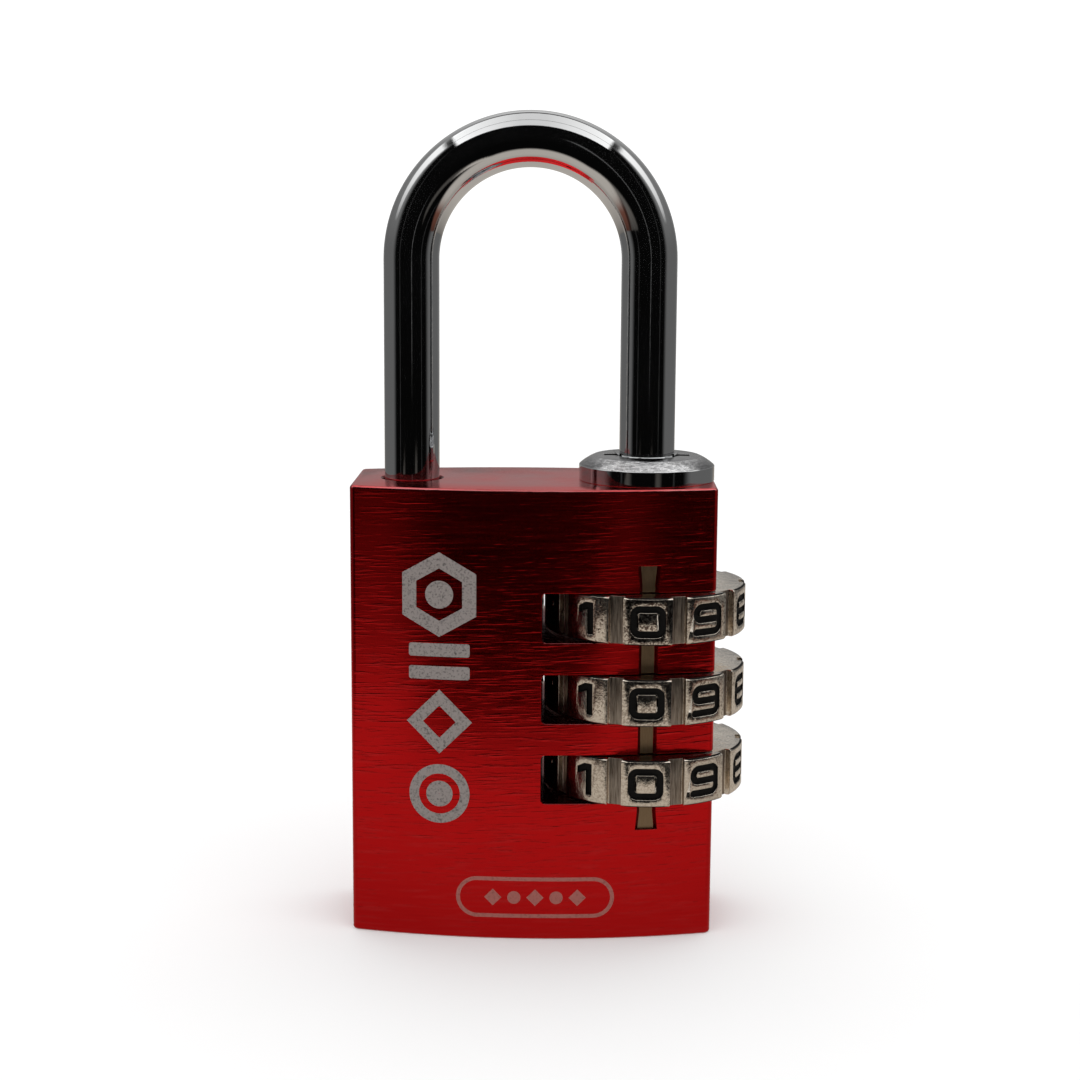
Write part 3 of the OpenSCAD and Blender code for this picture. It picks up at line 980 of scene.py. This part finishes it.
def floor():
    """Pale floor. In mirror rays it is the lit table, with two tongues of light in front of it."""
    mat, n = new_material("pale_floor")
    x, y, _ = n.split(n.place())
    front = n.math("MULTIPLY_ADD", y, -1.0, -thick)
    aside = n.math("ABSOLUTE", x)
    turn = n.math("MULTIPLY", n.math("ARCTAN2", x, front), TO_DEGREES)
    distance = n.math("SQRT", n.math("MULTIPLY_ADD", x, x, n.math("MULTIPLY", front, front)))
    right = n.math("MULTIPLY", n.between(turn, 15.5, 24.0, 6.0), tongue(n, distance, 0.15))
    left = n.math("MULTIPLY", n.step_down(turn, -29.0, 10.0), tongue(n, distance, 0.3))
    lit = n.math("MAXIMUM", n.step_down(front, TABLE_NEAR, 26.0), n.math("MAXIMUM", left, right))
    lit = n.math("MULTIPLY", lit, n.step_down(aside, TABLE_SIDE, 8.0))
    # The table is dimmer far aside and close to the lock, and brown near its front corners.
    glow = n.ramp(aside, 60.0, TABLE_SIDE, TABLE_GLOW, 0.16)
    glow = n.math("MULTIPLY", glow, n.ramp(n.math("ABSOLUTE", front), 2.0, 24.0, 0.74, 1.0))
    corner = n.math("MULTIPLY", n.step(aside, 85.0, 40.0), n.between(front, 5.0, 95.0, 30.0))
    colour = n.mix(corner, FLOOR_TINT, BROWN_CORNER)
    mirrored = n.add("ShaderNodeEmission", Color=colour, Strength=glow)
    beyond = n.add("ShaderNodeBsdfTransparent")
    table = n.mix_shader(lit, beyond, mirrored)
    seen = n.add("ShaderNodeBsdfDiffuse", Color=(0.95, 0.95, 0.95, 1))
    mirror_ray = n.add("ShaderNodeLightPath").outputs["Is Glossy Ray"]
    n.output("ShaderNodeOutputMaterial", n.mix_shader(mirror_ray, seen, table))
    floor_plane().data.materials.append(mat)


LAMP = 0.72
SIDE_WALL = 0.118
BACK_WALL = 0.19
EDGE_GLOW = 0.022
GAP_GLOW = 0.085
DARK_ROOM = 0.0018
WHITE_ROOM = 1.14


def lamp_panel(n, u, v):
    """Panel overhead, in two halves with a dark seam, brighter towards its sides."""
    panel = n.math("MULTIPLY", n.step_down(u, 0.70, 0.05), n.between(v, -0.73, 0.62, 0.07))
    seam = n.math("MULTIPLY", n.between(v, -0.19, -0.15, 0.02), 0.6)
    panel = n.math("MULTIPLY", panel, n.math("SUBTRACT", 1.0, seam))
    return n.math("MULTIPLY", panel, n.ramp(u, 0.1, 0.65, LAMP, 1.6 * LAMP))


def shoulder(n, u, v):
    """Upper part of the side walls, lit by the panel."""
    glow = n.math("MULTIPLY", n.step(u, 0.82, 0.1), n.ramp(u, 0.9, 4.0, 0.85, 0.0))
    return n.math("MULTIPLY", glow, n.between(v, -0.20, 0.62, 0.25))


def walls(n, turn, rise):
    """Side and back walls, the edges of the opening in front, and a gap of light far in front."""
    side = n.math("ABSOLUTE", turn)
    wall = n.math("MULTIPLY", n.step(side, 71.0, 19.0), SIDE_WALL)
    wall = n.math("MULTIPLY_ADD", n.step(side, 158.0, 46.0), BACK_WALL, wall)
    wall = n.math("MULTIPLY", wall, n.ramp(rise, 4.0, 45.0, 1.0, 2.2))
    edge = n.math("MULTIPLY", n.between(side, 43.6, 46.2, 1.6), n.between(rise, -25.0, 40.0, 10.0))
    gap = n.math("MULTIPLY", n.between(turn, 3.6, 5.6, 1.2), n.between(rise, -4.4, 14.0, 3.0))
    light = n.math("MULTIPLY_ADD", edge, EDGE_GLOW, wall)
    light = n.math("MULTIPLY_ADD", gap, GAP_GLOW, light)
    return n.math("MULTIPLY", light, n.step_down(rise, 50.0, 12.0))


def studio():
    """A small light tent, open and dark to the front, as mirror rays see it. Other rays see white.

    turn is the angle from straight in front, and rise the angle above the horizon. u and v are
    where a ray meets a ceiling at height 1.
    """
    world = bpy.data.worlds.new("studio")
    bpy.context.scene.world = world
    world.use_nodes = True
    n = Nodes(world.node_tree)
    x, y, z = n.split(n.add("ShaderNodeTexCoord").outputs["Generated"])
    turn = n.math("MULTIPLY", n.math("ARCTAN2", x, n.math("MULTIPLY", y, -1.0)), TO_DEGREES)
    rise = n.math("MULTIPLY", n.math("ARCSINE", z), TO_DEGREES)
    safe_z = n.math("MAXIMUM", z, 0.001)
    u = n.math("ABSOLUTE", n.math("DIVIDE", x, safe_z))
    v = n.math("DIVIDE", y, safe_z)
    light = n.math("ADD", shoulder(n, u, v), lamp_panel(n, u, v))
    light = n.math("ADD", walls(n, turn, rise), light)
    light = n.math("ADD", light, DARK_ROOM)
    mirrored = n.add("ShaderNodeBackground", Color=(1.0, 0.995, 0.985, 1), Strength=light)
    seen = n.add("ShaderNodeBackground", Color=(1, 1, 1, 1), Strength=WHITE_ROOM)
    mirror_ray = n.add("ShaderNodeLightPath").outputs["Is Glossy Ray"]
    n.output("ShaderNodeOutputWorld", n.mix_shader(mirror_ray, seen, mirrored))


# ---------- assembly ----------

red = red_anodised()
bright_chrome = chrome("chrome_plate", (0.86, 0.87, 0.88, 1), 0.03)
dial_finish = [dial_nickel(), groove_nickel(), ink()]
brass = plain_metal("turned_brass", (0.78, 0.55, 0.22, 1), (0.58, 0.38, 0.13, 1), 0.24, 1.5)
steel = plain_metal("drawn_steel", (0.56, 0.56, 0.57, 1), (0.38, 0.38, 0.40, 1), 0.26, 1.8)
# Near-black for the spanner slot's walls: painted shade inside the narrow slot.
slot_painted_shade = plain_metal("slot_shade_black", (0.05, 0.05, 0.05, 1), (0.015, 0.015, 0.015, 1), 0.4, 1.5)
strong_mark = etched_mark("etched_mark", (0.085, 0.075, 0.07, 1), (0.285, 0.25, 0.235, 1))
faint_mark = etched_mark("etched_mark_faint", (0.24, 0.065, 0.055, 1), (0.37, 0.12, 0.10, 1))

for level in LEVELS:
    number_dial(level, dial_finish)
    paint("driver_" + level, brass)
    paint("detent_ball_" + level, steel)
    paint("detent_spring_" + level, steel)
for node in ("spring_seat", "thrust_washer", "heel_clip"):
    paint(node, steel)
paint("base_plug", red)
padlock_body([red, milled_red(), bare_metal()])
front_marks(strong_mark, faint_mark)
shackle_bar(bright_chrome)
coil_spring(steel)
collar([bright_chrome, uneven_chrome(), slot_painted_shade])

floor()
studio()
camera()
bpy.context.scene.view_settings.view_transform = "Standard"
